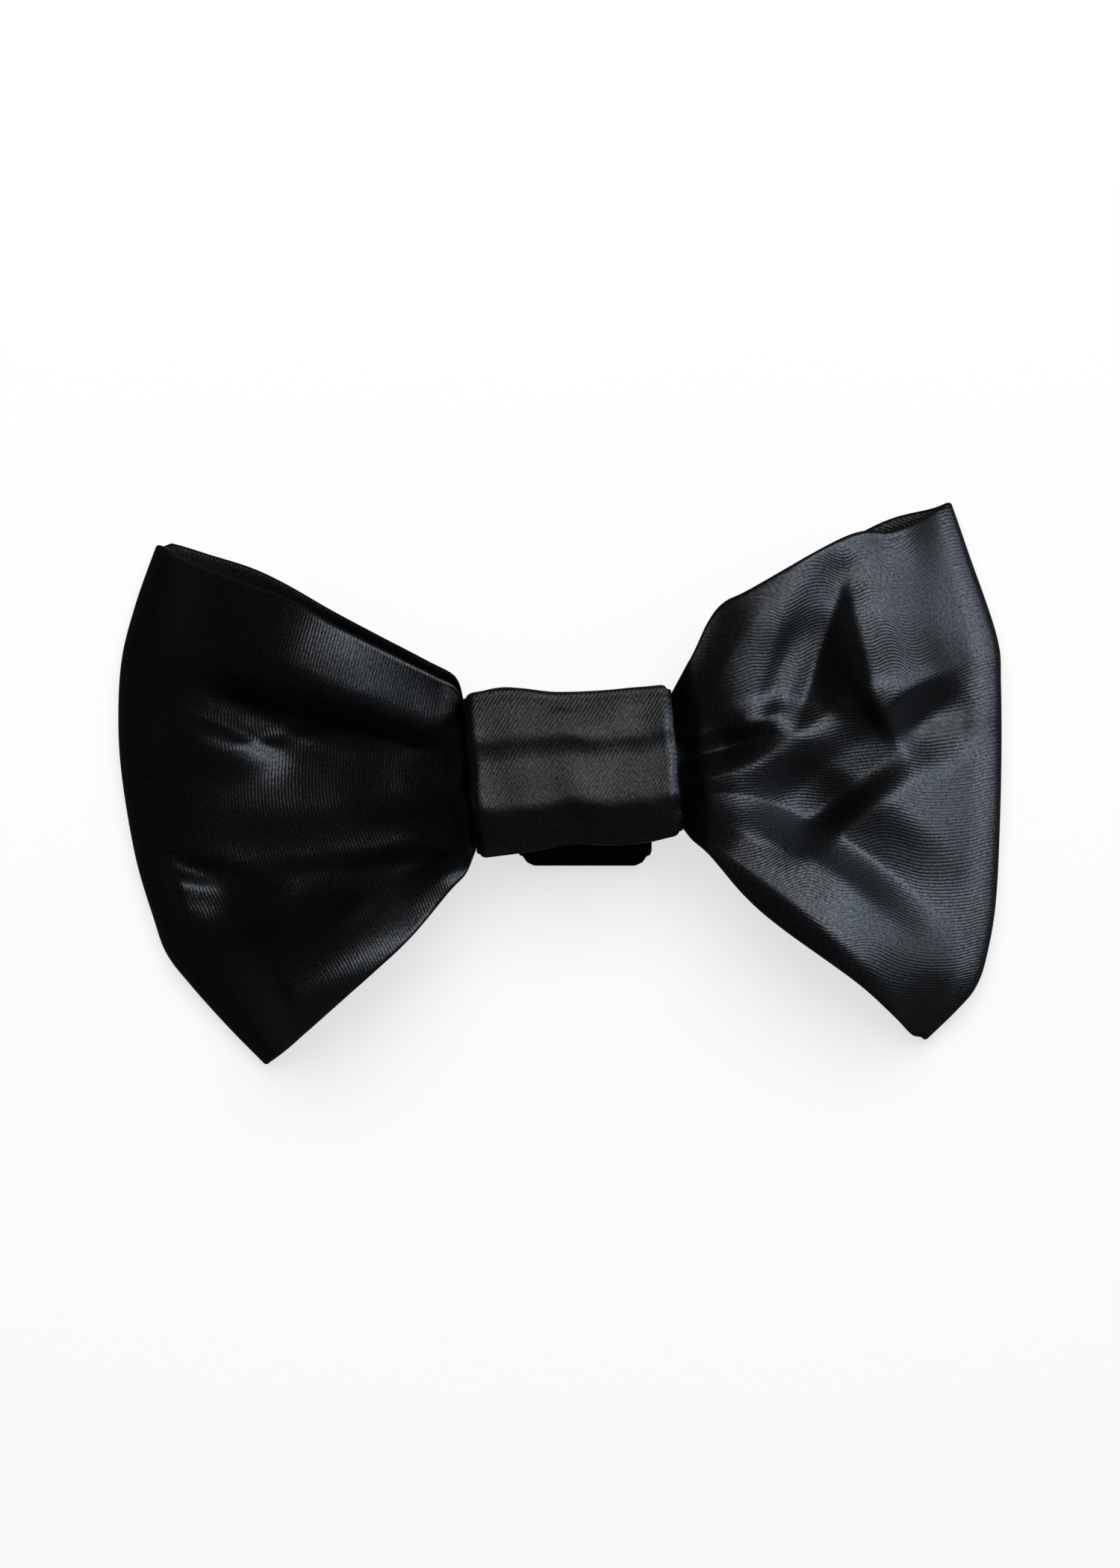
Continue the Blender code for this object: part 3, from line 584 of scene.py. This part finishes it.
def makeElastic():
    radius = elastic["wall"] + elastic["gap"] / 2
    middleX = knot["shift"][0] + elastic["shift"][0]
    middleY = knot["shift"][1] + elastic["shift"][1]
    across = np.linspace(0, 1, elastic["acrossSteps"] + 1)
    short = np.interp(across, *zip(*elastic["ends"]))
    half = (elastic["length"] * (0.5 - short) - radius)[:, None]
    end = np.linspace(0.5, -0.5, elastic["endSteps"] + 1) * math.pi
    flat = np.linspace(-1, 1, elastic["flatSteps"] + 2)[1:-1]

    def ring(r):
        level = radius + 0 * half
        top = np.stack([half + r * np.cos(end), level + r * np.sin(end)], -1)
        low = np.stack([-half * flat, level - r + 0 * flat], -1)
        bottom = np.stack([-half - r * np.cos(end), level - r * np.sin(end)], -1)
        high = np.stack([half * flat, level + r + 0 * flat], -1)
        return np.concatenate([top, low, bottom, high], 1)

    def placed(r):
        yz = ring(r)
        x = np.broadcast_to((middleX + (across - 0.5) * elastic["width"])[:, None], yz.shape[:2])
        return np.stack([x, middleY + yz[..., 0], yz[..., 1]], -1)

    outer, inner = placed(radius), placed(radius - elastic["wall"])
    return bandMesh("collarElastic", outer, inner, 0)


# materials

def linear(hexColour):
    parts = [int(hexColour[k:k + 2], 16) / 255 for k in (1, 3, 5)]
    straight = [p / 12.92 if p <= 0.04045 else ((p + 0.055) / 1.055) ** 2.4 for p in parts]
    return (*straight, 1.0)


def addNode(tree, kind, settings=None, links=None):
    node = tree.nodes.new(kind)
    for key, value in (settings or {}).items():
        if key in node.inputs:
            node.inputs[key].default_value = value
        else:
            setattr(node, key, value)
    for key, source in (links or {}).items():
        tree.links.new(source, node.inputs[key])
    return node


def clothMaterial(name):             # a material, and the cloth's own coordinates in mm
    material = bpy.data.materials.new(name)
    material.use_nodes = True
    uv = addNode(material.node_tree, "ShaderNodeUVMap", {"uv_map": "cloth"})
    inMm = addNode(material.node_tree, "ShaderNodeMapping",
                   {"Scale": (1000, 1000, 1000)}, {"Vector": uv.outputs["UV"]})
    return material, material.node_tree, inMm.outputs["Vector"]


def bandScale(pitch):                # a wave texture of scale 1 repeats every tenth of pi
    return math.pi / 10 / pitch


# black polyester satin: long floats of bright filament over a black ground, a soft broad sheen
satin = {
    "dark": "#030304",
    "light": "#07080a",
    "twill": 0.41,                   # mm from one twill line to the next
    "twillBend": 0.6,
    "thread": 0.16,                  # mm from thread to thread across them
    "threadBend": 0.4,
    "threadShare": 0.3,              # of the weave, the rest is twill
    "slub": 0.38,                    # mm, uneven threads
    "slubShare": 0.55,
    "roughness": (0.33, 0.40),
    "cloudScale": 140.0,             # patches of wear and handling, some 7 mm wide
    "sparkle": (0.20, 0.85),         # specular level from the dullest thread to the brightest
    "sparkleRange": (0.3, 0.7),      # of the slubs, what goes from dull to bright
    "coat": 0.06,                    # the yarn's hairs and crimp scatter a second, broad highlight
    "coatRoughness": 0.62,
    "bump": 0.060,                   # mm
}


def satinMaterial():
    material, tree, cloth = clothMaterial("blackPolyesterSatin")
    shader = tree.nodes["Principled BSDF"]
    twill = addNode(tree, "ShaderNodeTexWave", {
        "wave_type": "BANDS", "bands_direction": "X", "Scale": bandScale(satin["twill"]),
        "Distortion": satin["twillBend"], "Detail": 1.0, "Detail Scale": 1.5,
    }, {"Vector": cloth})
    thread = addNode(tree, "ShaderNodeTexWave", {
        "wave_type": "BANDS", "bands_direction": "Y", "Scale": bandScale(satin["thread"]),
        "Distortion": satin["threadBend"],
    }, {"Vector": cloth})
    weave = addNode(tree, "ShaderNodeMix", {"data_type": "FLOAT", "Factor": satin["threadShare"]},
                    {"A": twill.outputs["Fac"], "B": thread.outputs["Fac"]})
    slubs = addNode(tree, "ShaderNodeTexNoise", {
        "Scale": 1 / satin["slub"], "Detail": 2.0, "Roughness": 0.7,
    }, {"Vector": cloth})
    uneven = addNode(tree, "ShaderNodeMix", {"data_type": "FLOAT", "Factor": satin["slubShare"]},
                     {"A": weave.outputs["Result"], "B": slubs.outputs["Fac"]})
    bump = addNode(tree, "ShaderNodeBump", {"Strength": 1.0, "Distance": satin["bump"] * mm},
                   {"Height": uneven.outputs["Result"]})
    place = addNode(tree, "ShaderNodeTexCoord")
    cloudy = addNode(tree, "ShaderNodeTexNoise", {
        "Scale": satin["cloudScale"], "Detail": 4.0, "Roughness": 0.6,
    }, {"Vector": place.outputs["Object"]})
    rough = addNode(tree, "ShaderNodeMapRange", {
        "To Min": satin["roughness"][0], "To Max": satin["roughness"][1],
    }, {"Value": cloudy.outputs["Fac"]})
    sparkle = addNode(tree, "ShaderNodeMapRange", {
        "From Min": satin["sparkleRange"][0], "From Max": satin["sparkleRange"][1],
        "To Min": satin["sparkle"][0], "To Max": satin["sparkle"][1],
    }, {"Value": slubs.outputs["Fac"]})
    tone = addNode(tree, "ShaderNodeMix", {
        "data_type": "RGBA", "A": linear(satin["dark"]), "B": linear(satin["light"]),
    }, {"Factor": weave.outputs["Result"]})
    tree.links.new(tone.outputs["Result"], shader.inputs["Base Color"])
    tree.links.new(rough.outputs["Result"], shader.inputs["Roughness"])
    tree.links.new(sparkle.outputs["Result"], shader.inputs["Specular IOR Level"])
    tree.links.new(bump.outputs["Normal"], shader.inputs["Normal"])
    tree.links.new(bump.outputs["Normal"], shader.inputs["Coat Normal"])
    shader.inputs["Coat Weight"].default_value = satin["coat"]
    shader.inputs["Coat Roughness"].default_value = satin["coatRoughness"]
    return material


# black woven elastic: rubber threads wrapped in matt polyester, ribbed lengthwise
webbing = {
    "dark": "#050506",
    "light": "#0b0b0c",
    "rib": 1.1,                      # mm
    "pick": 0.5,                     # mm
    "pickBend": 0.3,
    "bump": 0.12,                    # mm
    "bumpStrength": 0.8,
    "roughness": 0.85,
    "specular": 0.08,
}


def elasticMaterial():
    material, tree, cloth = clothMaterial("blackWovenElastic")
    shader = tree.nodes["Principled BSDF"]
    ribs = addNode(tree, "ShaderNodeTexWave", {
        "wave_type": "BANDS", "bands_direction": "X", "Scale": bandScale(webbing["rib"]),
    }, {"Vector": cloth})
    picks = addNode(tree, "ShaderNodeTexWave", {
        "wave_type": "BANDS", "bands_direction": "Y", "Scale": bandScale(webbing["pick"]),
        "Distortion": webbing["pickBend"],
    }, {"Vector": cloth})
    weave = addNode(tree, "ShaderNodeMath", {"operation": "MULTIPLY"},
                    {0: ribs.outputs["Fac"], 1: picks.outputs["Fac"]})
    bump = addNode(tree, "ShaderNodeBump", {
        "Strength": webbing["bumpStrength"], "Distance": webbing["bump"] * mm,
    }, {"Height": weave.outputs["Value"]})
    tone = addNode(tree, "ShaderNodeMix", {
        "data_type": "RGBA", "A": linear(webbing["dark"]), "B": linear(webbing["light"]),
    }, {"Factor": weave.outputs["Value"]})
    tree.links.new(tone.outputs["Result"], shader.inputs["Base Color"])
    tree.links.new(bump.outputs["Normal"], shader.inputs["Normal"])
    shader.inputs["Roughness"].default_value = webbing["roughness"]
    shader.inputs["Specular IOR Level"].default_value = webbing["specular"]
    return material


# studio: white floor, soft lights, camera straight above

studio = {
    "tableSize": 3.0,
    "floor": "#f0f0f0",
    "floorRoughness": 0.9,
    "floorGlow": 0.68,               # a light table, lit from below as well
    "world": 0.05,
    "lights": [                      # name, azimuth, elevation, width, power, colour, what it lights
        ("keyRight", 12, 31, 0.62, 5.7, "#ddedff", "bow"),
        ("rightTop", 45, 60, 0.20, 0.35, "#f4f8ff", "bow"),
        ("leftTop", 22, 58, 0.20, 0.95, "#ffffff", "bow"),
        ("knotTop", 88, 54, 0.22, 1.00, "#ffffff", "knot"),
        ("tableTop", 90, 62, 0.70, 2.7, "#ffffff", "floor"),
    ],
    "lightDistance": 0.8,
    "lens": 120.0,                   # mm
    "sensor": 36.0,                  # mm
    "frameHeight": 189 * mm,         # what the photo's height covers at the bow
    "focusHeight": 8 * mm,
}


def makeStudio():
    bpy.ops.mesh.primitive_plane_add(size=studio["tableSize"], location=(0, 0, 0))
    floor = bpy.context.object
    floor.name = "floor"
    material = bpy.data.materials.new("whiteLightTable")
    material.use_nodes = True
    shader = material.node_tree.nodes["Principled BSDF"]
    shader.inputs["Base Color"].default_value = linear(studio["floor"])
    shader.inputs["Roughness"].default_value = studio["floorRoughness"]
    shader.inputs["Specular IOR Level"].default_value = 0.0
    shader.inputs["Emission Color"].default_value = (1, 1, 1, 1)
    shader.inputs["Emission Strength"].default_value = studio["floorGlow"]
    floor.data.materials.append(material)
    floor.visible_glossy = False     # black cards round the bow keep the white off the cloth
    floor.visible_diffuse = False

    world = bpy.data.worlds.new("studio")
    world.use_nodes = True
    background = world.node_tree.nodes["Background"]
    background.inputs["Color"].default_value = (1, 1, 1, 1)
    background.inputs["Strength"].default_value = studio["world"]
    bpy.context.scene.world = world

    names = "floor", "bow", "knot"
    groups = {key: bpy.data.collections.new("lit" + key.title()) for key in names}
    groups["floor"].objects.link(floor)
    target = Vector((0, 0, studio["focusHeight"]))
    for name, azimuth, elevation, width, power, colour, receivers in studio["lights"]:
        data = bpy.data.lights.new(name, "AREA")
        data.shape = "SQUARE"
        data.size = width
        data.energy = power
        data.color = linear(colour)[:3]
        lamp = bpy.data.objects.new(name, data)
        a, e = math.radians(azimuth), math.radians(elevation)
        away = Vector((math.cos(a) * math.cos(e), math.sin(a) * math.cos(e), math.sin(e)))
        lamp.location = target + away * studio["lightDistance"]
        lamp.rotation_euler = (-away).to_track_quat("-Z", "Y").to_euler()
        bpy.context.scene.collection.objects.link(lamp)
        lamp.light_linking.receiver_collection = groups[receivers]

    data = bpy.data.cameras.new("camera")
    data.lens = studio["lens"]
    data.sensor_width = studio["sensor"]
    camera = bpy.data.objects.new("camera", data)
    distance = studio["frameHeight"] * data.lens / data.sensor_width
    camera.location = (0, 0, studio["focusHeight"] + distance)
    bpy.context.scene.collection.objects.link(camera)
    bpy.context.scene.camera = camera
    bpy.context.scene.view_settings.view_transform = "Standard"
    print("studio ready")
    return groups


lit = makeStudio()
satinFinish, elasticFinish = satinMaterial(), elasticMaterial()
for made, node, finish, slotName in (
    (makeBow(), "bow", satinFinish, "satin"),
    (makeKnot(), "knot_band", satinFinish, "satin"),
    (makeElastic(), "collar_loop", elasticFinish, "elastic"),
):
    made.data.materials.append(finish)
    lit["bow"].objects.link(made)
    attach(made, "root")
    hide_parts(node)
    print("made", made.name, len(made.data.polygons), "faces")

lit["knot"].objects.link(bpy.data.objects["knotBand"])
